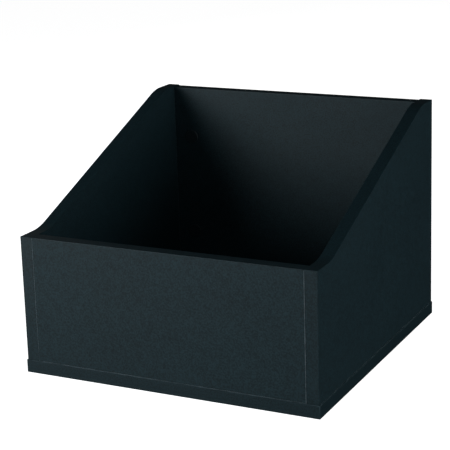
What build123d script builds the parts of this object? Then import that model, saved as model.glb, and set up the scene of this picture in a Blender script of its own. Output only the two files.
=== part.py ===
from build123d import *
import os
from math import asin, atan2, degrees, tan

# Record storage box: an open box with a low front, a high back and side panels
# that slope between them, made of coated board with a thin band on every edge
# that shows. Millimetres. The origin is the middle of the underside, the front
# faces -Y, +X is on the right of someone who faces the front, and +Z is up.

# Walls, measured over their bands
wall_width = 360.0
wall_depth = 360.0
wall_board = 15.0
front_height = 146.0
side_rear_height = 256.0
rear_panel_step = 1.0

# Top line of the side panels
front_level = 38.0
rear_level = 38.0
hollow_radius = 60.0
shoulder_radius = 60.0

# Base panel
base_board = 15.0
base_lip = 1.0

# Edge bands
edge_band = 1.0
band_arris = 0.4

# Dowels between the side panels and the front and back panels
dowel_diameter = 8.0
dowel_length = 30.0
dowel_in_side = 10.0
dowel_inset = 30.0
dowel_chamfer = 1.0
dowel_flutes = 12
flute_radius = 0.4
dowel_fit = 0.05
dowel_end_gap = 0.5

# Cams in the front and back panels
cam_diameter = 15.0
cam_setback = 24.0
cam_inset = 64.0
cam_skin = 2.5
cam_fit = 0.1
cam_end_gap = 0.3
cam_top_gap = 0.2
cam_turn = 110.0
cross_length = 7.0
cross_width = 1.8
cross_depth = 2.2

# Caps over the cams
cap_diameter = 17.0
cap_height = 1.0
cap_edge_radius = 0.5
spigot_length = 1.6
spigot_fit = 0.1

# Bolts from the side panels into the cams
bolt_thread_length = 10.0
bolt_crest_diameter = 5.0
bolt_core_diameter = 3.8
bolt_pitch = 2.0
collar_diameter = 7.0
collar_height = 1.2
shank_diameter = 5.6
neck_diameter = 3.4
neck_clearance = 0.5
head_diameter = 5.6
bolt_fit = 0.2
bolt_end_gap = 0.5

# Screws up through the base into the walls
screw_length = 40.0
screw_crest_diameter = 4.0
screw_core_diameter = 2.8
screw_pitch = 1.8
screw_point_length = 4.0
screw_head_diameter = 8.0
screw_head_sink = 0.3
screw_cross_length = 4.4
screw_cross_width = 1.0
screw_cross_depth = 1.8
screw_fit = 0.1
screw_end_gap = 0.8
side_screw_inset = 60.0
end_screw_inset = 70.0

# Sides and ends of the box
LEFT, RIGHT = -1, 1
FRONT, REAR = -1, 1
HANDS = {"left": LEFT, "right": RIGHT}
ENDS = {"front": FRONT, "rear": REAR}

# Planes and heights that follow from the sizes
base_top = base_board
front_top = base_top + front_height
side_top = base_top + side_rear_height
end_tops = {FRONT: front_top, REAR: side_top - rear_panel_step}
half_width = wall_width / 2
half_depth = wall_depth / 2
inner_half_width = half_width - wall_board
inner_half_depth = half_depth - wall_board
board_half_depth = half_depth - edge_band
side_middle = half_width - wall_board / 2
end_middle = half_depth - wall_board / 2
slope_front = -half_depth + front_level
slope_rear = half_depth - rear_level
slope_angle = atan2(side_top - front_top, slope_rear - slope_front)

# Heights of the dowels and cams at each end of the box
dowel_heights = {end: (base_top + dowel_inset, top - dowel_inset) for end, top in end_tops.items()}
cam_heights = {
    FRONT: ((base_top + end_tops[FRONT]) / 2,),
    REAR: (base_top + cam_inset, end_tops[REAR] - cam_inset),
}
cam_half_span = inner_half_width - cam_setback

# Places of the base screws, as (x, y)
screw_reach_y = half_depth - side_screw_inset
screw_reach_x = inner_half_width - end_screw_inset
side_screws = {
    hand: [(hand * side_middle, y) for y in (-screw_reach_y, 0, screw_reach_y)]
    for hand in HANDS.values()
}
end_screws = {
    end: [(x, end * end_middle) for x in (-screw_reach_x, screw_reach_x)]
    for end in ENDS.values()
}
all_screws = [spot for row in (*side_screws.values(), *end_screws.values()) for spot in row]
pilot_depth = screw_head_sink + screw_length + screw_end_gap - base_top


def joint_plane(hand, outward):
    """The plane where a side panel meets the end panels, facing +X or -X, with its y upwards."""
    return Plane(origin=(hand * inner_half_width, 0, 0), x_dir=(0, outward, 0), z_dir=(outward, 0, 0))


def inside_plane(end):
    """The plane of an end panel's inner face, facing into the box, with its y upwards."""
    return Plane(origin=(0, end * inner_half_depth, 0), x_dir=(end, 0, 0), z_dir=(0, -end, 0))


def downward_plane(height):
    """A level plane that faces down, whose y runs to the front."""
    return Plane(origin=(0, 0, height), x_dir=(1, 0, 0), z_dir=(0, 0, -1))


def from_below(spots):
    """Places given as (x, y), as a plane that faces down has them."""
    return [(x, -y) for x, y in spots]


def drill(plane, spots, diameter, depth):
    """Bore a flat-bottomed hole at each spot of a plane, against its normal."""
    with BuildSketch(plane) as mouths:
        with Locations(*spots):
            Circle(diameter / 2)
    extrude(mouths.sketch, amount=-depth, mode=Mode.SUBTRACT)


def top_line(inset):
    """A side panel's top line, moved into the board by inset, from front to rear."""
    shift = inset * tan(slope_angle / 2)
    return FilletPolyline(
        (-board_half_depth, front_top - inset),
        (slope_front + shift, front_top - inset),
        (slope_rear + shift, side_top - inset),
        (board_half_depth, side_top - inset),
        radius=(hollow_radius + inset, shoulder_radius - inset),
    )


def cross(length, width):
    """The cross that a driver turns, in the sketch being drawn."""
    Rectangle(length, width)
    Rectangle(width, length)


def ridges(start, end, pitch, core_diameter, crest_diameter):
    """Half outline of a thread's whole ridges between two places on its axis, as (place, radius)."""
    count = max(1, round((end - start) / pitch))
    step = (end - start) / count
    outline = [(start, core_diameter / 2)]
    for ridge in range(count):
        outline.append((start + (ridge + 0.5) * step, crest_diameter / 2))
        outline.append((start + (ridge + 1) * step, core_diameter / 2))
    return outline


def copies(piece, places):
    """The same piece at each place, as separate solids of one part."""
    with BuildPart() as group:
        with Locations(*places):
            add(piece.part)
    return group


def finish(piece, name):
    """Label a finished piece and write it to its own file."""
    piece.part.label = name
    export_step(piece.part, f"parts/{name}.step")


# Boards


def side_board(hand):
    """A side panel's board, bored for dowels, bolts and base screws."""
    with BuildPart() as board:
        with BuildSketch(Plane.YZ.offset(hand * half_width)):
            with BuildLine():
                top = top_line(edge_band)
                Polyline(top @ 1, (board_half_depth, base_top), (-board_half_depth, base_top), top @ 0)
            make_face()
        extrude(amount=-hand * wall_board)
        for end in ENDS.values():
            y = -hand * end * end_middle
            spots = [(y, z) for z in dowel_heights[end]]
            depth = dowel_in_side + dowel_end_gap
            drill(joint_plane(hand, -hand), spots, dowel_diameter + 2 * dowel_fit, depth)
            spots = [(y, z) for z in cam_heights[end]]
            depth = bolt_thread_length + bolt_end_gap
            drill(joint_plane(hand, -hand), spots, bolt_crest_diameter + 2 * bolt_fit, depth)
        spots = from_below(side_screws[hand])
        drill(downward_plane(base_top), spots, screw_crest_diameter + 2 * screw_fit, pilot_depth)
    return board


def end_board(end):
    """The front or back panel's board, bored for dowels, bolts, cams and base screws."""
    board_height = end_tops[end] - edge_band - base_top
    with BuildPart() as board:
        with BuildSketch(inside_plane(end)):
            with Locations((0, base_top)):
                Rectangle(2 * inner_half_width, board_height, align=(Align.CENTER, Align.MIN))
        extrude(amount=-wall_board)
        for hand in HANDS.values():
            y = hand * end * end_middle
            spots = [(y, z) for z in dowel_heights[end]]
            depth = dowel_length - dowel_in_side + dowel_end_gap
            drill(joint_plane(hand, hand), spots, dowel_diameter + 2 * dowel_fit, depth)
            spots = [(y, z) for z in cam_heights[end]]
            drill(joint_plane(hand, hand), spots, collar_diameter + 2 * bolt_fit, cam_setback)
            spots = [(hand * cam_half_span, z) for z in cam_heights[end]]
            drill(inside_plane(end), spots, cam_diameter + 2 * cam_fit, wall_board - cam_skin)
        spots = from_below(end_screws[end])
        drill(downward_plane(base_top), spots, screw_crest_diameter + 2 * screw_fit, pilot_depth)
    return board


def base_panel_board():
    """The base panel's board, with countersunk holes from below for its screws."""
    edge = base_lip - edge_band
    with BuildPart() as board:
        with BuildSketch():
            Rectangle(wall_width + 2 * edge, wall_depth + 2 * edge)
        extrude(amount=base_board)
        with Locations(downward_plane(0)):
            with Locations(*from_below(all_screws)):
                CounterSinkHole(
                    radius=screw_crest_diameter / 2 + screw_fit,
                    counter_sink_radius=screw_head_diameter / 2 + screw_head_sink + screw_fit,
                    counter_sink_angle=90,
                )
    return board


# Edge bands


def straight_band(start, along, outward, length, width, round_ends):
    """A straight band whose inner face starts at start, the middle of its width. The outer
    rim is rounded along its length, and at the last round_ends of its two ends."""
    plane = Plane(origin=start, x_dir=along, z_dir=outward)
    with BuildPart() as band:
        with BuildSketch(plane):
            Rectangle(length, width, align=(Align.MIN, Align.CENTER))
        extrude(amount=edge_band)
        rim = band.faces().sort_by(Axis(plane.origin, plane.z_dir))[-1].edges()
        run = Axis(plane.origin, plane.x_dir)
        ends = rim.filter_by(Axis(plane.origin, plane.y_dir)).sort_by(run)
        fillet(rim.filter_by(run) + ends[len(ends) - round_ends :], band_arris)
    return band


def side_end_band(hand, end):
    """The upright band on a side panel's front or rear edge."""
    height = (front_top if end == FRONT else side_top) - base_top
    start = (hand * side_middle, end * board_half_depth, base_top)
    return straight_band(start, (0, 0, 1), (0, end, 0), height, wall_board, round_ends=1)


def side_top_band(hand):
    """The band that follows a side panel's top line, between its two upright bands."""
    with BuildPart() as band:
        with BuildLine(Plane.YZ.offset(hand * side_middle)) as path:
            top_line(edge_band)
        with BuildSketch(Plane(origin=path.line @ 0, x_dir=(-1, 0, 0), z_dir=(0, 1, 0))) as section:
            Rectangle(wall_board, edge_band, align=(Align.CENTER, Align.MIN))
            fillet(section.vertices().group_by(Axis.Y)[-1], band_arris)
        sweep()
    return band


def end_top_band(end):
    """The band on the front or back panel's top edge, between the side panels."""
    start = (-inner_half_width, end * end_middle, end_tops[end] - edge_band)
    return straight_band(start, (1, 0, 0), (0, 0, 1), 2 * inner_half_width, wall_board, round_ends=0)


def base_end_band(end):
    """The band on the base's front or rear edge, over the whole width."""
    half_span = half_width + base_lip
    start = (-half_span, end * (half_depth + base_lip - edge_band), base_board / 2)
    return straight_band(start, (1, 0, 0), (0, end, 0), 2 * half_span, base_board, round_ends=2)


def base_side_band(hand):
    """The band on the base's left or right edge, between the front and rear bands."""
    half_span = half_depth + base_lip - edge_band
    start = (hand * (half_width + base_lip - edge_band), -half_span, base_board / 2)
    return straight_band(start, (0, 1, 0), (hand, 0, 0), 2 * half_span, base_board, round_ends=0)


# Fasteners. A cam, its cap and its bolt share one frame: the origin is on the end
# panel's inner face, z points into the box and x towards the side panel.


def dowel():
    """A fluted wooden dowel along z, with its middle at the origin."""
    with BuildPart() as pin:
        with BuildSketch(Plane.XY.offset(-dowel_length / 2)):
            Circle(dowel_diameter / 2)
            with PolarLocations(dowel_diameter / 2, dowel_flutes):
                Circle(flute_radius, mode=Mode.SUBTRACT)
        extrude(amount=dowel_length)
        with BuildSketch(Plane.XZ) as blank:
            with BuildLine():
                Polyline(
                    (0, -dowel_length / 2),
                    (dowel_diameter / 2 - dowel_chamfer, -dowel_length / 2),
                    (dowel_diameter / 2, -dowel_length / 2 + dowel_chamfer),
                    (dowel_diameter / 2, dowel_length / 2 - dowel_chamfer),
                    (dowel_diameter / 2 - dowel_chamfer, dowel_length / 2),
                    (0, dowel_length / 2),
                    close=True,
                )
            make_face()
        revolve(axis=Axis.Z, mode=Mode.INTERSECT)
    return pin


def cam():
    """A cam with a cross for the driver, a way in for the bolt's head and a track for its neck."""
    depth = wall_board - cam_skin - cam_end_gap
    slot_width = neck_diameter + 2 * bolt_fit
    with BuildPart() as body:
        with BuildSketch(Plane.XY.offset(-depth)):
            Circle(cam_diameter / 2)
        extrude(amount=depth - cam_top_gap)
        with BuildSketch(Plane.XY.offset(-cam_top_gap)):
            cross(cross_length, cross_width)
        extrude(amount=-cross_depth, mode=Mode.SUBTRACT)
        with BuildSketch(Plane.XZ):
            with Locations((0, -wall_board / 2)):
                Rectangle(cam_diameter, slot_width, align=(Align.MIN, Align.CENTER))
        revolve(axis=Axis.Z, revolution_arc=cam_turn, mode=Mode.SUBTRACT)
        with BuildSketch(Plane.YZ):
            with Locations((0, -wall_board / 2)):
                Circle(slot_width / 2)
        extrude(amount=cam_diameter, mode=Mode.SUBTRACT)
        with BuildSketch(Plane.YZ.rotated((0, 0, cam_turn))):
            with Locations((0, -wall_board / 2)):
                Circle(head_diameter / 2 + bolt_fit)
        extrude(amount=cam_diameter, mode=Mode.SUBTRACT)
        with Locations((0, 0, -wall_board / 2)):
            Sphere(head_diameter / 2 + bolt_fit, mode=Mode.SUBTRACT)
    return body


def cam_cap():
    """A round cap that lies on the panel over a cam, with a cross that clips into it."""
    with BuildPart() as cap:
        with BuildSketch():
            Circle(cap_diameter / 2)
        extrude(amount=cap_height)
        fillet(cap.faces().sort_by(Axis.Z)[-1].edges(), cap_edge_radius)
        with BuildSketch():
            cross(cross_length - 2 * spigot_fit, cross_width - 2 * spigot_fit)
        extrude(amount=-spigot_length)
    return cap


def cam_bolt():
    """The bolt that a cam grips: a round head and neck, a shank, a collar and a wood thread."""
    neck_end = cam_diameter / 2 + neck_clearance
    collar_start = cam_setback - collar_height
    thread_end = cam_setback + bolt_thread_length
    head_arc = 180 - degrees(asin(neck_diameter / head_diameter))
    with BuildPart() as bolt:
        with BuildSketch(Plane.XY.offset(-wall_board / 2)):
            with BuildLine():
                head = CenterArc((0, 0), head_diameter / 2, 180, -head_arc)
                Polyline(
                    head @ 1,
                    (neck_end, neck_diameter / 2),
                    (neck_end, shank_diameter / 2),
                    (collar_start, shank_diameter / 2),
                    (collar_start, collar_diameter / 2),
                    (cam_setback, collar_diameter / 2),
                    *ridges(cam_setback, thread_end, bolt_pitch, bolt_core_diameter, bolt_crest_diameter),
                    (thread_end, 0),
                    head @ 0,
                )
            make_face()
        revolve(axis=Axis((0, 0, -wall_board / 2), (1, 0, 0)))
    return bolt


def base_screw():
    """A countersunk cross-head wood screw, pointing up from just inside the underside."""
    head_top = screw_head_sink + (screw_head_diameter - screw_core_diameter) / 2
    point = screw_head_sink + screw_length
    thread_end = point - screw_point_length
    thread = ridges(head_top, thread_end, screw_pitch, screw_core_diameter, screw_crest_diameter)
    with BuildPart() as screw:
        with BuildSketch(Plane.XZ):
            with BuildLine():
                Polyline(
                    (0, screw_head_sink),
                    (screw_head_diameter / 2, screw_head_sink),
                    *[(radius, height) for height, radius in thread],
                    (0, point),
                    close=True,
                )
            make_face()
        revolve(axis=Axis.Z)
        with BuildSketch(Plane.XY.offset(screw_head_sink)):
            cross(screw_cross_length, screw_cross_width)
        extrude(amount=screw_cross_depth, mode=Mode.SUBTRACT)
    return screw


# Build every piece

os.makedirs("parts", exist_ok=True)

for side, hand in HANDS.items():
    finish(side_board(hand), f"{side}_side_panel")
    finish(side_top_band(hand), f"{side}_side_top_band")
    finish(base_side_band(hand), f"base_{side}_band")
    for place, end in ENDS.items():
        finish(side_end_band(hand, end), f"{side}_side_{place}_band")

for place, end in ENDS.items():
    finish(end_board(end), f"{place}_panel")
    finish(end_top_band(end), f"{place}_panel_top_band")
    finish(base_end_band(end), f"base_{place}_band")

finish(base_panel_board(), "base_panel")

dowel_x = inner_half_width + dowel_in_side - dowel_length / 2
dowel_places = [
    Location((hand * dowel_x, end * end_middle, z), (0, 90, 0))
    for hand in HANDS.values()
    for end in ENDS.values()
    for z in dowel_heights[end]
]
cam_places = [
    Location(inside_plane(end)) * Location((across, z, 0), (0, 0, turn))
    for across, turn in ((cam_half_span, 0), (-cam_half_span, 180))
    for end in ENDS.values()
    for z in cam_heights[end]
]
screw_places = [Location((x, y, 0)) for x, y in all_screws]

finish(copies(dowel(), dowel_places), "dowels")
finish(copies(cam(), cam_places), "cams")
finish(copies(cam_cap(), cam_places), "cam_caps")
finish(copies(cam_bolt(), cam_places), "cam_bolts")
finish(copies(base_screw(), screw_places), "base_screws")
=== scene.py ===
"""A record storage box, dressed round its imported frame.

Metres, +Z up. The low front faces -Y, and +X is on the right of someone who faces it.
"""

import logging
import math
from collections.abc import Callable, Iterable, Iterator
from contextlib import contextmanager
from dataclasses import dataclass
from enum import Enum

import bmesh
import bpy
from mathutils import Matrix, Vector


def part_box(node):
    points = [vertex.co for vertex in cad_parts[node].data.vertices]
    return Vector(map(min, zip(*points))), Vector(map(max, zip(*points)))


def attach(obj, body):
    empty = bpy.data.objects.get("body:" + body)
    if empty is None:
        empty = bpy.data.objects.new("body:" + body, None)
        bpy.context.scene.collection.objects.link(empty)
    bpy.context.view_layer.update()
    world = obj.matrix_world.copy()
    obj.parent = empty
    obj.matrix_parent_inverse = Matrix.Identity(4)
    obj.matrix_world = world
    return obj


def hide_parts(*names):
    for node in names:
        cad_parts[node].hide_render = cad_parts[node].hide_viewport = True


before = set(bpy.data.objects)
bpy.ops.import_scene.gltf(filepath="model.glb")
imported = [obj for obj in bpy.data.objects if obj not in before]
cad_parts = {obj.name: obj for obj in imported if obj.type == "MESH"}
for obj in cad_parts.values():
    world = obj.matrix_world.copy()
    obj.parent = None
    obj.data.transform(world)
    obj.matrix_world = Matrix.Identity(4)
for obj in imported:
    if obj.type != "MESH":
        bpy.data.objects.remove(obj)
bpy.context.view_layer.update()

LOG = logging.getLogger("record_box")
MM = 0.001
# Places nearer than TOUCH are the same, and points nearer than MERGE are one.
TOUCH = 0.01 * MM
MERGE = TOUCH / 10
# The least part of a unit normal that counts as facing a way.
FACING = 0.5
QUARTER = math.pi / 2
Z_TO_X = Matrix.Rotation(QUARTER, 4, "Y")

Span = tuple[float, float]
Triple = tuple[float, float, float]
Colour = Triple
Edge = bmesh.types.BMEdge
Element = bmesh.types.BMVert | Edge | bmesh.types.BMFace
Test = Callable[..., bool]
Socket = bpy.types.NodeSocket
Inputs = dict[str | int, object]


class Pole(Enum):
    """One of two opposite sides, as the sign of its coordinate."""

    @classmethod
    def of(cls, place: float) -> "Pole":
        """The side that a coordinate is on."""
        return cls(-1 if place < 0 else 1)


class Hand(Pole):
    """The left or right side of the box, along x."""

    LEFT = -1
    RIGHT = 1


class End(Pole):
    """The front or rear end of the box, along y."""

    FRONT = -1
    REAR = 1


class Part(Enum):
    """What an edit-mode operator acts on."""

    POINTS = "VERT"
    EDGES = "EDGE"
    FACES = "FACE"


class Trait(Enum):
    """Face attributes that tell a finish where it changes."""

    RIM = "rim"
    CUT = "cut"


def near(first: float, second: float) -> bool:
    """Whether two places are the same to a hundredth of a millimetre."""
    return abs(first - second) < TOUCH


def ends(element: Element) -> list[Vector]:
    """Where the points of a point, an edge or a face are."""
    return [element.co] if isinstance(element, bmesh.types.BMVert) else [point.co for point in element.verts]


def lies_at(element: Element, **places: float) -> bool:
    """Whether all the points of a point, an edge or a face are at the given x, y or z."""
    return all(near(getattr(end, axis), place) for end in ends(element) for axis, place in places.items())


@dataclass(frozen=True)
class Room:
    """The space between two corners."""

    low: Vector
    high: Vector

    @classmethod
    def of(cls, node: str) -> "Room":
        """The room that a CAD node takes."""
        return cls(*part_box(node))

    @property
    def size(self) -> Vector:
        """Width, depth and height."""
        return self.high - self.low

    @property
    def middle(self) -> Vector:
        """The centre."""
        return (self.high + self.low) / 2

    def side(self, axis: int, sign: int) -> float:
        """Where the room ends along an axis: its low end for a negative sign, and else its high end."""
        return self.low[axis] if sign < 0 else self.high[axis]


def rooms_of(node: str) -> list[Room]:
    """The room of each separate solid in a CAD node.

    Args:
        node: The name of a node that holds several like solids.

    Returns:
        One room for each solid, from left to right, then front to rear, then upwards.
    """
    mesh = bmesh.new()
    mesh.from_mesh(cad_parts[node].data)
    bmesh.ops.remove_doubles(mesh, verts=mesh.verts, dist=MERGE)
    waiting = set(mesh.verts)
    rooms = []
    while waiting:
        island = set()
        edge_of_search = [waiting.pop()]
        while edge_of_search:
            point = edge_of_search.pop()
            island.add(point)
            linked = {edge.other_vert(point) for edge in point.link_edges} & waiting
            waiting -= linked
            edge_of_search.extend(linked)
        low, high = (Vector(map(bound, zip(*(point.co for point in island)))) for bound in (min, max))
        rooms.append(Room(low, high))
    mesh.free()
    return sorted(rooms, key=lambda room: [round(place, 4) for place in room.middle])


def inside_room() -> Room:
    """The space between the walls, over the base panel."""
    rear = Room.of("rear_panel")
    low = (Room.of("left_side_panel").high.x, Room.of("front_panel").high.y, Room.of("base_panel").high.z)
    high = (Room.of("right_side_panel").low.x, rear.low.y, rear.high.z)
    return Room(Vector(low), Vector(high))


@dataclass(frozen=True)
class Thread:
    """A screw thread: its diameters, its pitch, and its ridge's shape as shares of these."""

    core: float
    crest: float
    pitch: float
    root_share: float = 0.9
    foot_share: float = 0.7
    crest_share: float = 0.15
    steps: int = 20


class Workpiece:
    """A mesh on the bench, shaped in edit mode with Blender's own operators."""

    def __init__(self, name: str) -> None:
        """Take up the primitive or copy that was added last."""
        self.name = name
        self.body = bpy.context.active_object
        self.body.name = name
        self.body.data.name = name
        self.settle()

    @classmethod
    def add(cls, name: str, primitive: Callable[..., set[str]], **settings: object) -> "Workpiece":
        """Take up a new primitive, which an operator adds with these settings and nothing else selected."""
        bpy.ops.object.select_all(action="DESELECT")
        primitive(**settings)
        return cls(name)

    @classmethod
    def block(cls, name: str, room: Room) -> "Workpiece":
        """Saw a block that fills a room."""
        return cls.add(name, bpy.ops.mesh.primitive_cube_add, size=1, location=room.middle, scale=room.size)

    @classmethod
    def plate(cls, name: str, room: Room, turn: Triple = (0, 0, 0)) -> "Workpiece":
        """Lay out a flat plate in the middle of a room.

        Args:
            name: The piece's name.
            room: The space it spans; its size across the plate is ignored.
            turn: The plate's rotation from level, in radians.

        Returns:
            The plate, which is one face.
        """
        piece = cls.add(name, bpy.ops.mesh.primitive_plane_add, size=1, location=room.middle, rotation=turn)
        with piece.edit(whole=True):
            bpy.ops.transform.resize(value=[span or 1 for span in room.size], center_override=room.middle)
        return piece

    @classmethod
    def turned(cls, name: str, outline: list[Span], sides: int = 48) -> "Workpiece":
        """Turn a solid piece about z, as on a lathe.

        Args:
            name: The piece's name.
            outline: The radius and height of each step, from the foot upwards. No radius is 0.
            sides: The number of faces round it.

        Returns:
            The piece, closed at both ends.
        """
        (foot_radius, foot), (radius, height), *steps = outline
        piece = cls.add(name, bpy.ops.mesh.primitive_cone_add, vertices=sides, radius1=foot_radius,
                        radius2=radius, depth=height - foot, location=(0, 0, (foot + height) / 2))
        with piece.edit():
            piece.pick(Part.FACES, lambda face: lies_at(face, z=height))
            for next_radius, next_height in steps:
                rise = (0, 0, next_height - height)
                bpy.ops.mesh.extrude_region_move(TRANSFORM_OT_translate={"value": rise})
                scale = next_radius / radius
                bpy.ops.transform.resize(value=(scale, scale, 1), center_override=(0, 0, next_height))
                radius, height = next_radius, next_height
        return piece

    def hold(self) -> None:
        """Select this piece alone, so that an operator acts on nothing else."""
        bpy.ops.object.select_all(action="DESELECT")
        self.body.select_set(True)
        bpy.context.view_layer.objects.active = self.body

    @contextmanager
    def edit(self, whole: bool = False) -> Iterator[None]:
        """Work in edit mode, with the whole piece selected if that is asked for."""
        self.hold()
        bpy.ops.object.mode_set(mode="EDIT")
        if whole:
            bpy.ops.mesh.select_all(action="SELECT")
        yield
        bpy.ops.object.mode_set(mode="OBJECT")

    def pick(self, part: Part, test: Test) -> None:
        """Select what passes a test, in edit mode.

        Args:
            part: Whether points, edges or faces are tested.
            test: Takes one of them and says whether it is selected.
        """
        bpy.ops.mesh.select_mode(type=part.value)
        bpy.ops.mesh.select_all(action="DESELECT")
        mesh = bmesh.from_edit_mesh(self.body.data)
        kinds = {Part.POINTS: mesh.verts, Part.EDGES: mesh.edges, Part.FACES: mesh.faces}
        for element in kinds[part]:
            if test(element):
                element.select_set(True)
        bmesh.update_edit_mesh(self.body.data)

    def move(self, test: Test, shift: Triple) -> None:
        """Shift the points that pass a test."""
        with self.edit():
            self.pick(Part.POINTS, test)
            bpy.ops.transform.translate(value=shift)

    def ease(self, test: Test, width: float, steps: int, trait: Trait | None = None,
             part: Part = Part.EDGES) -> None:
        """Round the edges or points that pass a test.

        Args:
            test: Takes an edge or a point and says whether it is rounded.
            width: How far the rounding reaches from it.
            steps: The number of stretches across the rounding.
            trait: The attribute that is set on the new faces.
            part: Whether edges or points are rounded.
        """
        affect = "VERTICES" if part is Part.POINTS else "EDGES"
        with self.edit():
            self.pick(part, test)
            bpy.ops.mesh.bevel(offset=width, segments=steps, profile=0.5, affect=affect, clamp_overlap=False)
        if trait:
            self.mark(trait, lambda face: face.select and self.shortest_side(face) < width)

    def shortest_side(self, face: bpy.types.MeshPolygon) -> float:
        """The length of a face's shortest side."""
        points = self.body.data.vertices
        return min((points[first].co - points[second].co).length for first, second in face.edge_keys)

    def mark(self, trait: Trait, test: Test) -> None:
        """Set an attribute on the faces that pass a test."""
        mesh = self.body.data
        layer = mesh.attributes.get(trait.value) or mesh.attributes.new(trait.value, "FLOAT", "FACE")
        for face in mesh.polygons:
            if test(face):
                layer.data[face.index].value = 1.0

    def mark_sawn(self, room: Room) -> None:
        """Mark all but the two facings of a board that fills a room as sawn or drilled."""
        across = min(range(3), key=lambda axis: room.size[axis])
        sides = (room.low[across], room.high[across])
        self.mark(Trait.CUT, lambda face: not any(near(face.center[across], side) for side in sides))

    def apply(self, kind: str, **settings: object) -> None:
        """Add a modifier and apply it."""
        self.hold()
        modifier = self.body.modifiers.new(kind.lower(), kind)
        for name, value in settings.items():
            setattr(modifier, name, value)
        bpy.ops.object.modifier_apply(modifier=modifier.name)

    def combine(self, operation: str, others: Iterable["Workpiece"]) -> None:
        """Cut others out of this piece, or fuse them with it, and take them off the bench.

        Args:
            operation: DIFFERENCE or UNION.
            others: The pieces that are cut out or joined on.
        """
        for other in others:
            self.apply("BOOLEAN", operation=operation, solver="EXACT", object=other.body)
            bpy.data.objects.remove(other.body)
        with self.edit(whole=True):
            bpy.ops.mesh.dissolve_degenerate(threshold=MERGE)

    def cut(self, *cutters: "Workpiece") -> None:
        """Cut away what the cutters fill."""
        self.combine("DIFFERENCE", cutters)

    def fuse(self, *others: "Workpiece") -> None:
        """Join others to this piece as one solid."""
        self.combine("UNION", others)

    def wind_thread(self, thread: Thread, foot: float, top: float) -> None:
        """Wind a thread round a piece turned about z.

        Args:
            thread: Its sizes.
            foot: The height that it starts at.
            top: The height that it stays under.
        """
        inner, outer = thread.root_share * thread.core / 2, thread.crest / 2
        half = thread.foot_share * thread.pitch / 2
        room = Room(Vector((inner, 0, foot - half)), Vector((outer, 0, foot + half)))
        ridge = Workpiece.plate("ridge", room, turn=(QUARTER, 0, 0))
        with ridge.edit(whole=True):
            bpy.ops.mesh.delete(type="ONLY_FACE")
            ridge.pick(Part.POINTS, lambda point: lies_at(point, x=outer))
            bpy.ops.transform.resize(value=(1, 1, thread.crest_share), center_override=room.middle)
        turns = math.floor((top - foot) / thread.pitch)
        ridge.apply("SCREW", angle=math.tau, screw_offset=thread.pitch, iterations=turns, steps=thread.steps,
                    render_steps=thread.steps, use_merge_vertices=False)
        with ridge.edit(whole=True):
            bpy.ops.mesh.fill_holes(sides=0)
            bpy.ops.mesh.select_all(action="SELECT")
            bpy.ops.mesh.normals_make_consistent(inside=False)
        self.fuse(ridge)

    def settle(self) -> "Workpiece":
        """Fix this piece's place in its mesh."""
        self.hold()
        bpy.ops.object.transform_apply(location=True, rotation=True, scale=True)
        return self

    def placed(self, place: Matrix) -> "Workpiece":
        """Move this piece to a place, and fix it there."""
        self.body.matrix_world = place
        return self.settle()

    def set_out(self, places: Iterable[Matrix]) -> Iterator["Workpiece"]:
        """Put a copy of this pattern in each place, and take the pattern off the bench.

        Args:
            places: Where the pattern's own frame goes.

        Yields:
            Each copy, with its own mesh and a numbered name.
        """
        for number, place in enumerate(places, start=1):
            self.hold()
            bpy.ops.object.duplicate(linked=False)
            yield Workpiece(f"{self.name}_{number}").placed(place)
        bpy.data.objects.remove(self.body)

    def smooth(self, angle: float = math.radians(40)) -> None:
        """Shade the roundings smoothly and keep the faces between them flat."""
        self.hold()
        bpy.ops.object.shade_smooth_by_angle(angle=angle)
        self.apply("WEIGHTED_NORMAL", keep_sharp=True, weight=100)


def cross(length: float, width: float, low: float, high: float) -> list[Workpiece]:
    """Two blocks of a length and a width that cross on the z axis, from one height to another."""
    spans = ((length / 2, width / 2), (width / 2, length / 2))
    return [Workpiece.block("arm", Room(Vector((-x, -y, low)), Vector((x, y, high)))) for x, y in spans]


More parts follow.
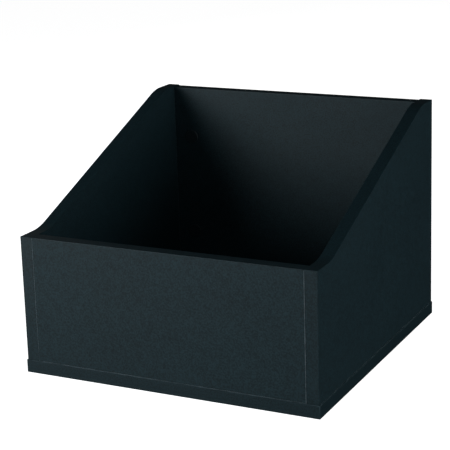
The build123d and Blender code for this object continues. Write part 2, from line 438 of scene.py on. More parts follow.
class Shader:
    """A node tree, with short ways to add what the finishes share."""

    def __init__(self, owner: bpy.types.Material | bpy.types.World, surface: str = "Principled BSDF") -> None:
        """Open the tree of a material or a world, whose surface is the node of that name."""
        owner.use_nodes = True
        self.tree = owner.node_tree
        self.surface = self.tree.nodes[surface]

    def join(self, source: object, target: Socket) -> None:
        """Link a socket to a target, or set the target to a number, a vector or a colour."""
        if isinstance(source, Socket):
            self.tree.links.new(source, target)
        else:
            target.default_value = (*source, 1.0) if target.type == "RGBA" else source

    def feed(self, node: bpy.types.Node, inputs: Inputs) -> None:
        """Join each source to the node's input of that name or number."""
        for key, source in inputs.items():
            self.join(source, node.inputs[key])

    def add(self, kind: str, inputs: Inputs | None = None, **settings: object) -> bpy.types.Node:
        """Add a node.

        Args:
            kind: Its type.
            inputs: The source of each input that is used.
            settings: Its properties.

        Returns:
            The node.
        """
        node = self.tree.nodes.new(kind)
        for name, value in settings.items():
            setattr(node, name, value)
        self.feed(node, inputs or {})
        return node

    def place(self) -> Socket:
        """The place on the piece."""
        return self.add("ShaderNodeTexCoord").outputs["Object"]

    def trait(self, trait: Trait) -> Socket:
        """A face attribute of the piece."""
        return self.add("ShaderNodeAttribute", attribute_name=trait.value).outputs["Fac"]

    def noise(self, grain: float, detail: float = 2.0, stretch: Triple = (1, 1, 1)) -> Socket:
        """Uneven values from 0 to 1.

        Args:
            grain: The size of one patch, in metres.
            detail: How many finer layers lie on it.
            stretch: How much longer a patch is along x, y and z.

        Returns:
            The socket with the values.
        """
        scale = [1 / length for length in stretch]
        place = self.add("ShaderNodeMapping", {"Vector": self.place(), "Scale": scale}).outputs["Vector"]
        inputs = {"Vector": place, "Scale": 1 / grain, "Detail": detail}
        return self.add("ShaderNodeTexNoise", inputs).outputs["Fac"]

    def spread(self, source: Socket, low: float, high: float, start: float = 0, stop: float = 1) -> Socket:
        """Bring values between start and stop to between low and high."""
        inputs = {"Value": source, "From Min": start, "From Max": stop, "To Min": low, "To Max": high}
        return self.add("ShaderNodeMapRange", inputs).outputs["Result"]

    def blend(self, share: Socket, first: Socket | Colour, second: Socket | Colour) -> Socket:
        """Mix two colours, with share of the second."""
        return self.add("ShaderNodeMix", {"Factor": share, 6: first, 7: second}, data_type="RGBA").outputs[2]

    def layered(self, *layers: tuple[float, Socket]) -> Socket:
        """Add up values, each by its weight."""
        total = 0.0
        for weight, source in layers:
            inputs = {0: source, 1: weight, 2: total}
            total = self.add("ShaderNodeMath", inputs, operation="MULTIPLY_ADD").outputs[0]
        return total

    def product(self, first: Socket, second: Socket) -> Socket:
        """Multiply two values."""
        return self.add("ShaderNodeMath", {0: first, 1: second}, operation="MULTIPLY").outputs[0]

    def coat(self, colour: Socket, roughness: Socket | float, shine: float = 0.5) -> None:
        """Give the surface a colour, a roughness and a specular level."""
        self.feed(self.surface, {"Base Color": colour, "Roughness": roughness, "Specular IOR Level": shine})

    def relief(self, height: Socket, depth: float, strength: float) -> None:
        """Raise and lower the surface by depth metres."""
        bump = self.add("ShaderNodeBump", {"Height": height, "Distance": depth, "Strength": strength})
        self.join(bump.outputs["Normal"], self.surface.inputs["Normal"])


@dataclass(frozen=True)
class Finish:
    """A surface that pieces can be dressed in. Each kind paints its own nodes."""

    name: str
    slot: str | None = None

    def paint(self, shader: Shader) -> None:
        """Build the nodes."""
        raise NotImplementedError

    def material(self) -> bpy.types.Material:
        """The material, made the first time it is asked for."""
        if self.name not in bpy.data.materials:
            self.paint(Shader(bpy.data.materials.new(self.name)))
        return bpy.data.materials[self.name]

    def dress(self, body: bpy.types.Object) -> None:
        """Give an object this finish alone."""
        body.data.materials.clear()
        body.data.materials.append(self.material())


@dataclass(frozen=True)
class Satin(Finish):
    """A black satin surface: grain, mottles and clouds, mixed by their weights, and then its wear and painted
    highlights.
    """

    deep: Colour = (0.0034, 0.0093, 0.0118)
    light: Colour = (0.0114, 0.0311, 0.0396)
    cloud_size: float = 90 * MM
    cloud_detail: float = 3.0
    mottle_size: float = 7 * MM
    mottle_range: Span = (0.3, 0.7)
    pebble_size: float = 1.6 * MM
    pebble_range: Span = (0.35, 0.65)
    pebble_depth: float = 0.03 * MM
    pebble_strength: float = 0.5
    weights: Triple = (0.5, 0.2, 0.3)
    roughness: Span = (0.50, 0.60)
    shine: float = 0.15

    def with_wear_and_highlights(self, shader: Shader, sound: Socket) -> Socket:
        """The colour of the sound surface, with its wear and painted highlights laid over it."""
        raise NotImplementedError

    def paint(self, shader: Shader) -> None:
        """Build the nodes."""
        pebbles = shader.noise(self.pebble_size, detail=1.0)
        clouds = shader.noise(self.cloud_size, detail=self.cloud_detail)
        grain = shader.spread(pebbles, 0, 1, *self.pebble_range)
        mottle = shader.spread(shader.noise(self.mottle_size, detail=3.0), 0, 1, *self.mottle_range)
        tone = shader.layered(*zip(self.weights, (grain, mottle, clouds)))
        colour = self.with_wear_and_highlights(shader, shader.blend(tone, self.deep, self.light))
        shader.coat(colour, shader.spread(clouds, *self.roughness), self.shine)
        shader.relief(pebbles, self.pebble_depth, self.pebble_strength)


@dataclass(frozen=True)
class CoatedBoard(Satin):
    """Chipboard with a black facing, whose pale paper shows along its sawn rims, lightened into a painted
    highlight line there.
    """

    name: str = "black_melamine"
    slot: str | None = "coated_board"
    # Pale paper on the bared rims, and also a painted highlight line along the joints between panels.
    paper_and_highlight: Colour = (0.20, 0.26, 0.29)
    chip_dark: Colour = (0.16, 0.095, 0.045)
    chip_light: Colour = (0.50, 0.36, 0.21)
    chip_size: float = 1.8 * MM
    nick_size: float = 6 * MM
    nick_range: Span = (0.35, 0.6)
    nick_cover: Span = (0.35, 1.0)

    def with_wear_and_highlights(self, shader: Shader, sound: Socket) -> Socket:
        """The facing's colour, with the chips of its core where it is cut, and along the rims its pale paper,
        which is also a painted highlight.
        """
        chips = shader.add("ShaderNodeTexVoronoi", {"Vector": shader.place(), "Scale": 1 / self.chip_size})
        core = shader.blend(chips.outputs["Distance"], self.chip_dark, self.chip_light)
        # Patches of pale paper along the rims: partly nicks, partly a painted highlight line.
        nicks_and_highlight = shader.spread(shader.noise(self.nick_size, detail=4.0), *self.nick_cover, *self.nick_range)
        rim = shader.blend(nicks_and_highlight, sound, self.paper_and_highlight)
        colour = shader.blend(shader.trait(Trait.CUT), sound, core)
        return shader.blend(shader.trait(Trait.RIM), colour, rim)


@dataclass(frozen=True)
class EdgeBand(Satin):
    """Black plastic band, a little darker and smoother than the facing, with wear and a painted highlight
    along its arrises.
    """

    name: str = "black_edging"
    slot: str | None = "edge_band"
    deep: Colour = (0.0036, 0.0098, 0.0125)
    light: Colour = (0.0100, 0.0272, 0.0347)
    cloud_size: float = 40 * MM
    cloud_detail: float = 4.0
    pebble_depth: float = 0.02 * MM
    pebble_strength: float = 0.4
    weights: Triple = (0.6, 0.0, 0.4)
    roughness: Span = (0.44, 0.54)
    # Lighter colour on the arrises: partly wear, partly a painted highlight.
    worn_and_highlit: Colour = (0.010, 0.025, 0.031)
    wear_size: float = 9 * MM
    wear_range: Span = (0.4, 0.65)
    wear_cover: Span = (0.2, 0.9)

    def with_wear_and_highlights(self, shader: Shader, sound: Socket) -> Socket:
        """The band's colour, with lighter patches along its arrises that are partly wear and partly painted
        highlight.
        """
        wear_and_highlight = shader.spread(shader.noise(self.wear_size, detail=4.0), *self.wear_cover, *self.wear_range)
        return shader.blend(shader.product(shader.trait(Trait.RIM), wear_and_highlight), sound, self.worn_and_highlit)


@dataclass(frozen=True)
class Grained(Finish):
    """A fine grain between two tones, as moulded plastic, wood and bare metal have."""

    first: Colour = (0.42, 0.43, 0.44)
    second: Colour = (0.60, 0.61, 0.62)
    roughness: Span | float = (0.3, 0.5)
    metallic: float = 0.0
    size: float = 0.4 * MM
    detail: float = 5.0
    stretch: Triple = (1, 1, 1)
    contrast: Span = (0, 1)
    depth: float = 0.01 * MM
    strength: float = 0.4

    def paint(self, shader: Shader) -> None:
        """Build the nodes."""
        grain = shader.noise(self.size, self.detail, self.stretch)
        colour = shader.blend(shader.spread(grain, 0, 1, *self.contrast), self.first, self.second)
        even = isinstance(self.roughness, float)
        shader.coat(colour, self.roughness if even else shader.spread(grain, *self.roughness))
        shader.surface.inputs["Metallic"].default_value = self.metallic
        shader.relief(grain, self.depth, self.strength)


@dataclass(frozen=True)
class FloorPaint(Finish):
    """The studio's pale floor, which the camera sees as nearly white."""

    name: str = "studio_floor"
    pale: Colour = (0.93, 0.935, 0.94)
    shade: float = 0.985
    cloud_size: float = 0.8
    roughness: float = 0.9
    shine: float = 0.1
    glow: float = 0.95

    def paint(self, shader: Shader) -> None:
        """Build the nodes."""
        darker = tuple(self.shade * channel for channel in self.pale)
        colour = shader.blend(shader.noise(self.cloud_size), self.pale, darker)
        shader.coat(colour, self.roughness, self.shine)
        seen = shader.add("ShaderNodeLightPath").outputs["Is Camera Ray"]
        glow = shader.spread(seen, 0, self.glow)
        shader.feed(shader.surface, {"Emission Color": (1.0, 1.0, 1.0), "Emission Strength": glow})


BOARD = CoatedBoard()
BAND = EdgeBand()
# The base bands' much lighter arris colour is partly scuffing and partly a painted highlight along the base's
# ledge.
BASE_BAND = EdgeBand("scuffed_black_edging", worn_and_highlit=(0.050, 0.085, 0.100))
CAP = Grained("moulded_black", "cap_plastic", (0.0045, 0.0110, 0.0140), (0.0075, 0.0180, 0.0228), (0.38, 0.5),
              size=0.25 * MM, detail=2.0, depth=0.015 * MM, strength=0.5)
WOOD = Grained("turned_beech", "beech", (0.62, 0.43, 0.26), (0.40, 0.24, 0.12), 0.62, size=0.5 * MM,
               detail=4.0, stretch=(14, 1, 1), contrast=(0.35, 0.7), depth=0.04 * MM, strength=0.5)
ZINC = Grained("bare_zinc", "cast_zinc", metallic=1.0)
STEEL = Grained("bright_plating", "plated_steel", (0.50, 0.50, 0.48), (0.68, 0.68, 0.66), (0.22, 0.38), 1.0)


def fit_out(piece: Workpiece, finish: Finish, *nodes: str) -> None:
    """Finish a piece and fix it where its CAD nodes are.

    Args:
        piece: The finished mesh.
        finish: What it is dressed in.
        nodes: The CAD nodes that it stands for.
    """
    piece.smooth()
    finish.dress(piece.body)
    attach(piece.body, "root")
    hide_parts(*nodes)
    LOG.info("%s: %d faces, for %s", piece.body.name, len(piece.body.data.polygons), ", ".join(nodes))


def fit_copies(pattern: Workpiece, places: Iterable[Matrix], finish: Finish, node: str) -> None:
    """Put a copy of a pattern in each place, finish it and fix it for its CAD node."""
    for piece in pattern.set_out(places):
        fit_out(piece, finish, node)


@dataclass(frozen=True)
class Hole:
    """A round hole in a board."""

    mouth: Vector
    way: Vector
    depth: float
    diameter: float
    sink: float = 0.0
    beyond: float = 1 * MM

    def is_in(self, board: Room) -> bool:
        """Whether this hole is drilled in a board."""
        middle = self.mouth + self.way * self.depth / 2
        return all(low < place < high for low, place, high in zip(board.low, middle, board.high))

    def cutter(self) -> Workpiece:
        """The bit that drills it, with a right-angled countersink where it has a sink diameter."""
        radius, sink_radius = self.diameter / 2, self.sink / 2
        mouth = [(radius, -self.beyond)]
        if self.sink:
            mouth = [(sink_radius + self.beyond, -self.beyond), (radius, sink_radius - radius)]
        bit = Workpiece.turned("bit", [*mouth, (radius, self.depth)])
        turn = self.way.to_track_quat("Z", "Y").to_matrix().to_4x4()
        return bit.placed(Matrix.Translation(self.mouth) @ turn)


@dataclass(frozen=True)
class TopLine:
    """A side panel's top line: level, hollow, straight slope, shoulder, level."""

    front_bend: Span
    rear_bend: Span
    hollow_radius: float
    shoulder_radius: float

    @property
    def reach(self) -> float:
        """How far from its bend an arc of radius 1 starts."""
        (front, low), (rear, high) = self.front_bend, self.rear_bend
        return math.tan(math.atan2(high - low, rear - front) / 2)

    def bends(self) -> list[Triple]:
        """The y and z of each bend, and how far from it its arc starts."""
        arcs = ((self.front_bend, self.hollow_radius), (self.rear_bend, self.shoulder_radius))
        return [(*bend, radius * self.reach) for bend, radius in arcs]

    def inset(self, depth: float) -> "TopLine":
        """The line that lies depth inside this one."""
        (front, low), (rear, high) = self.front_bend, self.rear_bend
        shift = depth * self.reach
        return TopLine((front + shift, low - depth), (rear + shift, high - depth),
                       self.hollow_radius + depth, self.shoulder_radius - depth)


@dataclass(kw_only=True)
class BoardWork:
    """What all boards and bands share: the holes, the bared rims and the eased arrises."""

    holes: list[Hole]
    rim: float = 0.3 * MM
    rim_steps: int = 2
    arris: float = 0.4 * MM
    arris_steps: int = 3

    def fit_board(self, piece: Workpiece, room: Room, node: str, bared: Test | None = None) -> None:
        """Bare a board's rims, bore it for its fittings and dress it.

        Args:
            piece: The board.
            room: The room that it fills.
            node: The CAD node that it stands for.
            bared: Takes an edge and says whether it is a bared rim.
        """
        if bared:
            piece.ease(bared, self.rim, self.rim_steps, Trait.RIM)
        piece.cut(*(hole.cutter() for hole in self.holes if hole.is_in(room)))
        piece.mark_sawn(room)
        fit_out(piece, BOARD, node)

    def fit_band(self, piece: Workpiece, node: str, outer: Test, finish: Finish = BAND) -> None:
        """Ease a band's outer edges and dress it."""
        piece.ease(outer, self.arris, self.arris_steps, Trait.RIM)
        fit_out(piece, finish, node)


@dataclass(kw_only=True)
class SideWall(BoardWork):
    """A side panel with the bands on its front, top and rear edges."""

    hand: Hand
    front_level: float = 38 * MM
    rear_level: float = 38 * MM
    hollow_radius: float = 60 * MM
    shoulder_radius: float = 60 * MM
    bend_steps: int = 20

    def __post_init__(self) -> None:
        """Read the wall's places from the frame."""
        self.side = self.hand.name.lower()
        self.board = Room.of(f"{self.side}_side_panel")
        self.front = Room.of(f"{self.side}_side_front_band")
        self.rear = Room.of(f"{self.side}_side_rear_band")
        self.band = self.front.size.y
        front_bend = (self.front.low.y + self.front_level, self.front.high.z)
        rear_bend = (self.rear.high.y - self.rear_level, self.rear.high.z)
        self.line = TopLine(front_bend, rear_bend, self.hollow_radius, self.shoulder_radius)

    def bend(self, piece: Workpiece, line: TopLine, part: Part) -> None:
        """Draw a straight top edge down to a top line, and round its two bends.

        Args:
            piece: A plate whose top edge runs level from front to rear.
            line: The line that it is drawn to.
            part: Whether its bends are points, as in an upright plate, or edges, as in a strip.
        """
        (front, low), (rear, high) = line.front_bend, line.rear_bend
        length = self.board.size.y
        with piece.edit():
            piece.pick(Part.EDGES, lambda edge: near(edge.calc_length(), length) and lies_at(edge, z=high))
            bpy.ops.mesh.subdivide(number_cuts=2)
        # The two cuts lie a sixth of the edge's length before and behind its middle.
        for start, bend in ((-length / 6, front), (length / 6, rear)):
            piece.move(lambda point: lies_at(point, y=start, z=high), (0, bend - start, 0))
        piece.move(lambda point: point.co.y < front + TOUCH and lies_at(point, z=high), (0, 0, low - high))
        for place, height, reach in line.bends():
            piece.ease(lambda element: lies_at(element, y=place, z=height), reach, self.bend_steps, part=part)

    def build_board(self) -> None:
        """Saw the panel from a plate, give it its thickness and bore it for its fittings."""
        room = self.board
        piece = Workpiece.plate(f"{self.side}_side_board", room, turn=(0, QUARTER, 0))
        self.bend(piece, self.line.inset(self.band), Part.POINTS)
        with piece.edit(whole=True):
            bpy.ops.mesh.extrude_region_move(TRANSFORM_OT_translate={"value": (room.size.x, 0, 0)})
            bpy.ops.mesh.select_all(action="SELECT")
            bpy.ops.transform.translate(value=(-room.size.x / 2, 0, 0))
            bpy.ops.mesh.normals_make_consistent(inside=False)

        def at_foot(edge: Edge) -> bool:
            """Whether an edge is one of the two along the foot of the panel."""
            return any(lies_at(edge, x=x, z=room.low.z) for x in (room.low.x, room.high.x))

        self.fit_board(piece, room, f"{self.side}_side_panel", at_foot)

    def build_upright(self, end: End, room: Room) -> None:
        """Fit the band on the panel's front or rear edge, in its room."""
        place, outside = end.name.lower(), room.side(1, end.value)
        piece = Workpiece.block(f"{self.side}_{place}_upright_band", room)
        self.fit_band(piece, f"{self.side}_side_{place}_band",
                      lambda edge: lies_at(edge, y=outside) and not lies_at(edge, z=room.low.z))

    def build_top_band(self) -> None:
        """Bend the band that follows the panel's top line."""
        height = self.line.rear_bend[1]
        corners = (Vector((*corner.xy, height)) for corner in (self.board.low, self.board.high))
        piece = Workpiece.plate(f"{self.side}_top_band", Room(*corners))
        self.bend(piece, self.line, Part.EDGES)
        piece.apply("SOLIDIFY", thickness=self.band, offset=-1, use_even_offset=True)

        def outer(edge: Edge) -> bool:
            """Whether an edge runs along one of the band's two upper arrises."""
            normals = [face.normal for face in edge.link_faces]
            along = near(edge.verts[0].co.x, edge.verts[1].co.x)
            return along and max(n.z for n in normals) > FACING and max(abs(n.x) for n in normals) > FACING

        self.fit_band(piece, f"{self.side}_side_top_band", outer)

    def build(self) -> None:
        """Build the panel and its bands."""
        self.build_board()
        self.build_upright(End.FRONT, self.front)
        self.build_upright(End.REAR, self.rear)
        self.build_top_band()


@dataclass(kw_only=True)
class EndWall(BoardWork):
    """The front or back panel with the band on its top edge."""

    end: End

    def __post_init__(self) -> None:
        """Read the wall's places from the frame."""
        self.place = self.end.name.lower()
        self.board = Room.of(f"{self.place}_panel")
        self.band = Room.of(f"{self.place}_panel_top_band")

    def build_board(self) -> None:
        """Saw the panel and bore it for its fittings."""
        room = self.board

        def on_sawn_rim(edge: Edge) -> bool:
            """Whether an edge of a facing is at the panel's foot or at one of its two ends."""
            on_facing = any(lies_at(edge, y=y) for y in (room.low.y, room.high.y))
            at_end = any(lies_at(edge, x=x) for x in (room.low.x, room.high.x))
            return on_facing and (at_end or lies_at(edge, z=room.low.z))

        self.fit_board(Workpiece.block(f"{self.place}_board", room), room, f"{self.place}_panel", on_sawn_rim)

    def build_band(self) -> None:
        """Fit the band on the panel's top edge."""
        room = self.band
        self.fit_band(Workpiece.block(f"{self.place}_top_band", room), f"{self.place}_panel_top_band",
                      lambda edge: near(edge.calc_length(), room.size.x) and lies_at(edge, z=room.high.z))

    def build(self) -> None:
        """Build the panel and its band."""
        self.build_board()
        self.build_band()


@dataclass(kw_only=True)
class Base(BoardWork):
    """The base panel with the bands round it."""

    def build_board(self) -> None:
        """Saw the panel and countersink it for its screws."""
        room = Room.of("base_panel")
        self.fit_board(Workpiece.block("base_board", room), room, "base_panel")

    def build_band(self, node: str) -> None:
        """Fit the band of a node, with its outer long edges eased."""
        room = Room.of(node)
        along, across = (0, 1) if room.size.x > room.size.y else (1, 0)
        outside = max((room.low[across], room.high[across]), key=abs)

        def outer(edge: Edge) -> bool:
            """Whether an edge is on the band's outer face, and on its end only where that end is bare."""
            bare = along == 0 or near(edge.calc_length(), room.size[along])
            return bare and lies_at(edge, **{"xy"[across]: outside})

        piece = Workpiece.block(node.replace("base_", "base_edge_"), room)
        self.fit_band(piece, node, outer, BASE_BAND)

    def build(self) -> None:
        """Build the panel and its bands."""
        self.build_board()
        for place in ("front", "rear", "left", "right"):
            self.build_band(f"base_{place}_band")


@dataclass(frozen=True)
class Dowels:
    """Fluted beech dowels, which line up the front and rear panels with the sides."""

    diameter: float = 8 * MM
    length: float = 30 * MM
    in_side: float = 10 * MM
    chamfer: float = 1 * MM
    flutes: int = 12
    flute_radius: float = 0.4 * MM
    flute_sides: int = 12
    fit: float = 0.05 * MM
    end_gap: float = 0.5 * MM
    sides: int = 96

    def holes(self) -> list[Hole]:
        """The two holes for each dowel, on either side of its joint."""
        box = inside_room()
        bore = self.diameter + 2 * self.fit
        holes = []
        for room in rooms_of("dowels"):
            hand = Hand.of(room.middle.x)
            joint = Vector((box.side(0, hand.value), room.middle.y, room.middle.z))
            outward = Vector((hand.value, 0, 0))
            holes.append(Hole(joint, outward, self.in_side + self.end_gap, bore))
            holes.append(Hole(joint, -outward, self.length - self.in_side + self.end_gap, bore))
        return holes

    def pattern(self) -> Workpiece:
        """Turn one dowel along z, and flute it."""
        radius, half = self.diameter / 2, self.length / 2
        outline = [(radius - self.chamfer, -half), (radius, self.chamfer - half)]
        outline += [(place_radius, -height) for place_radius, height in reversed(outline)]
        dowel = Workpiece.turned("dowel", outline, self.sides)
        reach = [(self.flute_radius, -self.length), (self.flute_radius, self.length)]
        flute = Workpiece.turned("flute", reach, self.flute_sides)
        turns = (math.tau * number / self.flutes for number in range(self.flutes))
        places = (Matrix.Rotation(turn, 4, "Z") @ Matrix.Translation((radius, 0, 0)) for turn in turns)
        dowel.cut(*flute.set_out(places))
        return dowel

    def build(self) -> None:
        """Put every dowel in its joint."""
        places = [Matrix.Translation(room.middle) @ Z_TO_X for room in rooms_of("dowels")]
        fit_copies(self.pattern(), places, WOOD, "dowels")


@dataclass(frozen=True)
class CamFittings:
    """The cams that pull the end panels to the sides, with the bolts that they grip and their caps.

    All three share a frame: its origin is on the end panel's inner face, its z points into the box and
    its x towards the side panel.
    """

    board: float = 15 * MM
    cam_diameter: float = 15 * MM
    cam_setback: float = 24 * MM
    cam_skin: float = 2.5 * MM
    cam_fit: float = 0.1 * MM
    cam_end_gap: float = 0.3 * MM
    cam_top_gap: float = 0.2 * MM
    cam_turn: float = math.radians(110)
    cam_arris: float = 0.25 * MM
    cross_length: float = 7 * MM
    cross_width: float = 1.8 * MM
    cross_depth: float = 2.2 * MM
    cap_diameter: float = 17 * MM
    cap_height: float = 1 * MM
    cap_edge: float = 0.45 * MM
    cap_rim: float = 1.1 * MM
    dish_slope: float = 0.25 * MM
    dish_depth: float = 0.15 * MM
    spigot_length: float = 1.6 * MM
    spigot_fit: float = 0.1 * MM
    thread: Thread = Thread(core=3.8 * MM, crest=5 * MM, pitch=2 * MM)
    thread_length: float = 10 * MM
    thread_run_in: float = 0.8 * MM
    collar_diameter: float = 7 * MM
    collar_height: float = 1.2 * MM
    shank_diameter: float = 5.6 * MM
    neck_diameter: float = 3.4 * MM
    neck_clearance: float = 0.5 * MM
    head_diameter: float = 5.6 * MM
    head_start: float = math.radians(12)
    head_steps: int = 9
    bolt_fit: float = 0.2 * MM
    bolt_end_gap: float = 0.5 * MM
    bolt_arris: float = 0.2 * MM
    bolt_sides: int = 32
    seat_sides: int = 32
    sides: int = 64
    cap_edge_steps: int = 4
    track_steps: int = 22

    def places(self) -> list[Matrix]:
        """The frame of each fitting."""
        box = inside_room()
        places = []
        for room in rooms_of("cam_caps"):
            hand, end = Hand.of(room.middle.x), End.of(room.middle.y)
            origin = Vector((room.middle.x, box.side(1, end.value), room.middle.z))
            along, inward = Vector((hand.value, 0, 0)), Vector((0, -end.value, 0))
            axes = Matrix((along, inward.cross(along), inward)).transposed()
            places.append(Matrix.Translation(origin) @ axes.to_4x4())
        return places

    def holes(self) -> list[Hole]:
        """The hole for each cam, and the two for its bolt, on either side of the joint."""
        cam_bore = self.cam_diameter + 2 * self.cam_fit
        thread_bore = self.thread.crest + 2 * self.bolt_fit
        collar_bore = self.collar_diameter + 2 * self.bolt_fit
        holes = []
        for place in self.places():
            outward, inward = place.col[0].xyz, place.col[2].xyz
            joint = place.translation + outward * self.cam_setback - inward * self.board / 2
            holes.append(Hole(place.translation, -inward, self.board - self.cam_skin, cam_bore))
            holes.append(Hole(joint, outward, self.thread_length + self.bolt_end_gap, thread_bore))
            holes.append(Hole(joint, -outward, self.cam_setback, collar_bore))
        return holes

    def cap(self) -> Workpiece:
        """Turn a cap with a rounded edge and a shallow dish, and put a cross under it."""
        radius, height = self.cap_diameter / 2, self.cap_height
        cap = Workpiece.turned("cam_cap", [(radius, 0), (radius, height)], self.sides)
        cap.ease(lambda edge: lies_at(edge, z=height), self.cap_edge, self.cap_edge_steps)
        with cap.edit():
            cap.pick(Part.FACES, lambda face: lies_at(face, z=height))
            bpy.ops.mesh.inset(thickness=self.cap_rim)
            bpy.ops.mesh.inset(thickness=self.dish_slope)
            bpy.ops.transform.translate(value=(0, 0, -self.dish_depth))
        fit = 2 * self.spigot_fit
        cap.fuse(*cross(self.cross_length - fit, self.cross_width - fit, -self.spigot_length, height / 2))
        return cap

    def track(self) -> Workpiece:
        """Sweep the way that the bolt's neck takes through the cam as this turns."""
        middle, half = -self.board / 2, self.neck_diameter / 2 + self.bolt_fit
        room = Room(Vector((0, 0, middle - half)), Vector((self.cam_diameter, 0, middle + half)))
        track = Workpiece.plate("track", room, turn=(QUARTER, 0, 0))
        with track.edit(whole=True):
            bpy.ops.mesh.spin(steps=self.track_steps, angle=self.cam_turn, center=(0, 0, 0), axis=(0, 0, 1))
            bpy.ops.mesh.select_all(action="SELECT")
            bpy.ops.mesh.remove_doubles(threshold=MERGE)
            bpy.ops.mesh.normals_make_consistent(inside=False)
        return track

    def cam(self) -> Workpiece:
        """Turn a cam, and cut its cross, its track, the seat of the bolt's head and the way into it."""
        radius, arris = self.cam_diameter / 2, self.cam_arris
        top, foot = -self.cam_top_gap, self.cam_skin + self.cam_end_gap - self.board
        outline = [(radius - arris, foot), (radius, foot + arris)]
        outline += [(radius, top - arris), (radius - arris, top)]
        cam = Workpiece.turned("cam", outline, self.sides)
        cam.cut(*cross(self.cross_length, self.cross_width, top - self.cross_depth, top + self.cap_height))
        centre = Matrix.Translation((0, 0, -self.board / 2))
        neck, head = self.neck_diameter / 2 + self.bolt_fit, self.head_diameter / 2 + self.bolt_fit
        slot = Workpiece.turned("slot", [(neck, 0), (neck, self.cam_diameter)]).placed(centre @ Z_TO_X)
        way_in = Workpiece.turned("way_in", [(head, 0), (head, self.cam_diameter)])
        way_in.placed(centre @ Matrix.Rotation(self.cam_turn, 4, "Z") @ Z_TO_X)
        seat = Workpiece.add("seat", bpy.ops.mesh.primitive_uv_sphere_add, segments=self.seat_sides,
                             ring_count=self.seat_sides // 2, radius=head, location=centre.translation)
        cam.cut(seat, self.track(), slot, way_in)
        return cam

    def bolt(self) -> Workpiece:
        """Turn a bolt along z from its round head at the origin, and cut its thread."""
        neck, shank, collar = self.neck_diameter / 2, self.shank_diameter / 2, self.collar_diameter / 2
        head, core, arris = self.head_diameter / 2, self.thread.core / 2, self.bolt_arris
        start, stop = self.head_start, math.pi - math.asin(neck / head)
        angles = [start + (stop - start) * step / self.head_steps for step in range(self.head_steps + 1)]
        neck_end = self.cam_diameter / 2 + self.neck_clearance
        collar_foot, joint = self.cam_setback - self.collar_height, self.cam_setback
        tip = joint + self.thread_length
        outline = [(head * math.sin(angle), -head * math.cos(angle)) for angle in angles]
        outline += [(neck, neck_end), (shank - arris, neck_end), (shank, neck_end + arris)]
        outline += [(shank, collar_foot), (collar - arris, collar_foot), (collar, collar_foot + arris)]
        outline += [(collar, joint - arris), (collar - arris, joint), (core, joint)]
        outline += [(core, tip - core / 2), (core / 2, tip)]
        bolt = Workpiece.turned("cam_bolt", outline, self.bolt_sides)
        bolt.wind_thread(self.thread, joint + self.thread_run_in, tip - core / 2)
        return bolt

    def build(self) -> None:
        """Put a cam, a bolt and a cap in each place."""
        places = self.places()
        to_bolt = Matrix.Translation((0, 0, -self.board / 2)) @ Z_TO_X
        fit_copies(self.cam(), places, ZINC, "cams")
        fit_copies(self.bolt(), [place @ to_bolt for place in places], STEEL, "cam_bolts")
        fit_copies(self.cap(), places, CAP, "cam_caps")


@dataclass(frozen=True)
class BaseScrews:
    """Countersunk cross-head screws, up through the base panel into the walls."""

    length: float = 40 * MM
    thread: Thread = Thread(core=2.8 * MM, crest=4 * MM, pitch=1.8 * MM)
    point_length: float = 4 * MM
    point_radius: float = 0.06 * MM
    head_diameter: float = 8 * MM
    head_sink: float = 0.3 * MM
    head_arris: float = 0.14 * MM
    cross_length: float = 4.4 * MM
    cross_width: float = 1 * MM
    cross_depth: float = 1.8 * MM
    cross_taper: float = 0.5
    fit: float = 0.1 * MM
    end_gap: float = 0.8 * MM
    overrun: float = 1 * MM

    def places(self) -> list[Vector]:
        """Where each screw's axis meets the underside."""
        return [Vector((*room.middle.xy, 0)) for room in rooms_of("base_screws")]

    def holes(self) -> list[Hole]:
        """The countersunk hole and the pilot hole for each screw."""
        top = inside_room().low.z
        bore = self.thread.crest + 2 * self.fit
        sink = self.head_diameter + 2 * (self.head_sink + self.fit)
        pilot = self.head_sink + self.length + self.end_gap - top
        upward = Vector((0, 0, 1))
        holes = []
        for place in self.places():
            holes.append(Hole(place, upward, top + self.overrun, bore, sink))
            holes.append(Hole(place + upward * top, upward, pilot, bore))
        return holes

    def pattern(self) -> Workpiece:
        """Turn one screw, wind its thread and cut the cross in its head."""
        head, core, foot = self.head_diameter / 2, self.thread.core / 2, self.head_sink
        neck, tip = foot + head - core, foot + self.length
        shoulder = tip - self.point_length
        outline = [(head - self.head_arris, foot), (head - self.head_arris / 2, foot + self.head_arris / 2)]
        outline += [(core, neck), (core, shoulder), (self.point_radius, tip)]
        screw = Workpiece.turned("base_screw", outline)
        screw.wind_thread(self.thread, neck + self.thread.pitch / 2, shoulder)
        bottom = foot + self.cross_depth
        arms = cross(self.cross_length, self.cross_width, 0, bottom)
        for arm in arms:
            with arm.edit():
                arm.pick(Part.POINTS, lambda point: lies_at(point, z=bottom))
                taper = (self.cross_taper, self.cross_taper, 1)
                bpy.ops.transform.resize(value=taper, center_override=(0, 0, bottom))
        screw.cut(*arms)
        return screw

    def build(self) -> None:
        """Put a screw in each place."""
        places = [Matrix.Translation(place) for place in self.places()]
        fit_copies(self.pattern(), places, STEEL, "base_screws")


@dataclass(frozen=True)
class Softbox:
    """A square lamp that faces the box.

    Its azimuth is 0 in front of the box and 90 on its right. Its angles are in degrees.
    """

    name: str
    power: float
    azimuth: float
    elevation: float
    size: float
    distance: float = 2.2

    def build(self) -> None:
        """Set up the lamp."""
        lamp = bpy.data.lights.new(self.name, "AREA")
        lamp.energy = self.power
        lamp.size = self.size
        softbox = bpy.data.objects.new(self.name, lamp)
        turn, rise = math.radians(self.azimuth), math.radians(self.elevation)
        source = Vector((math.sin(turn) * math.cos(rise), -math.cos(turn) * math.cos(rise), math.sin(rise)))
        softbox.location = source * self.distance
        softbox.rotation_euler = source.to_track_quat("Z", "Y").to_euler()
        bpy.context.scene.collection.objects.link(softbox)


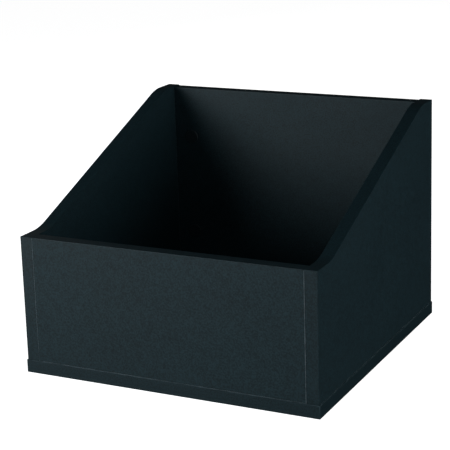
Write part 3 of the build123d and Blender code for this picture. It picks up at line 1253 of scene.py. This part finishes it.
@dataclass(frozen=True)
class Studio:
    """A plain pale floor under soft light, and the camera at the photograph's viewing angle."""

    picture: int = 450
    camera_place: tuple[float, float, float] = (0.7397, -1.4933, 0.6140)
    heading: float = math.radians(26.72)
    downward: float = math.radians(13.99)
    roll: float = math.radians(-1.76)
    focal_pixels: float = 1475.0
    horizon_row: float = 180.0
    sensor: float = 36.0
    view_distance: float = 200.0
    floor_size: float = 60.0
    floor_gap: float = 0.05 * MM
    room_colour: Colour = (0.9, 0.95, 1.0)
    room_glow: float = 0.02
    lamps: tuple[Softbox, ...] = (
        Softbox("key", power=44.0, azimuth=-33, elevation=7, size=1.1),
        Softbox("fill", power=34.0, azimuth=84, elevation=7, size=1.6),
        Softbox("high", power=4.0, azimuth=40, elevation=45, size=1.6),
        Softbox("back", power=34.0, azimuth=247, elevation=6, size=0.8),
    )

    def set_camera(self) -> None:
        """Place the camera."""
        data = bpy.data.cameras.new("camera")
        data.sensor_width = self.sensor
        data.lens = self.focal_pixels / self.picture * self.sensor
        data.shift_y = self.horizon_row / self.picture - 0.5
        data.clip_end = self.view_distance
        camera = bpy.data.objects.new("camera", data)
        turned = (
            Matrix.Rotation(self.heading, 4, "Z")
            @ Matrix.Rotation(math.pi / 2 - self.downward, 4, "X")
            @ Matrix.Rotation(self.roll, 4, "Z")
        )
        camera.matrix_world = Matrix.Translation(self.camera_place) @ turned
        bpy.context.scene.collection.objects.link(camera)
        bpy.context.scene.camera = camera

    def lay_floor(self) -> None:
        """Lay the floor just under the box."""
        bpy.ops.object.select_all(action="DESELECT")
        bpy.ops.mesh.primitive_plane_add(size=self.floor_size, location=(0, 0, -self.floor_gap))
        floor = bpy.context.active_object
        floor.name = "studio_floor"
        FloorPaint().dress(floor)
        floor.visible_glossy = False

    def light(self) -> None:
        """Set up the lamps and the dim room round them, which the camera sees as white."""
        world = bpy.data.worlds.new("studio")
        shader = Shader(world, "Background")
        shader.feed(shader.surface, {"Color": self.room_colour, "Strength": self.room_glow})
        white = shader.add("ShaderNodeBackground", {"Color": (1.0, 1.0, 1.0), "Strength": 1.0})
        seen = shader.add("ShaderNodeLightPath").outputs["Is Camera Ray"]
        lit, plain = shader.surface.outputs["Background"], white.outputs["Background"]
        mix = shader.add("ShaderNodeMixShader", {"Fac": seen, 1: lit, 2: plain})
        shader.join(mix.outputs["Shader"], shader.tree.nodes["World Output"].inputs["Surface"])
        bpy.context.scene.world = world
        for lamp in self.lamps:
            lamp.build()

    def build(self) -> None:
        """Set up the studio."""
        bpy.context.scene.view_settings.view_transform = "Standard"
        self.set_camera()
        self.lay_floor()
        self.light()


def main() -> None:
    """Build the box and the studio in order."""
    logging.basicConfig(level=logging.INFO, format="%(name)s: %(message)s")
    Studio().build()
    fittings = [Dowels(), CamFittings(), BaseScrews()]
    holes = [hole for fitting in fittings for hole in fitting.holes()]
    sides = [SideWall(hand=hand, holes=holes) for hand in Hand]
    end_walls = [EndWall(end=end, holes=holes) for end in End]
    for sub_assembly in [Base(holes=holes), *sides, *end_walls, *fittings]:
        sub_assembly.build()


if __name__ == "__main__":
    main()
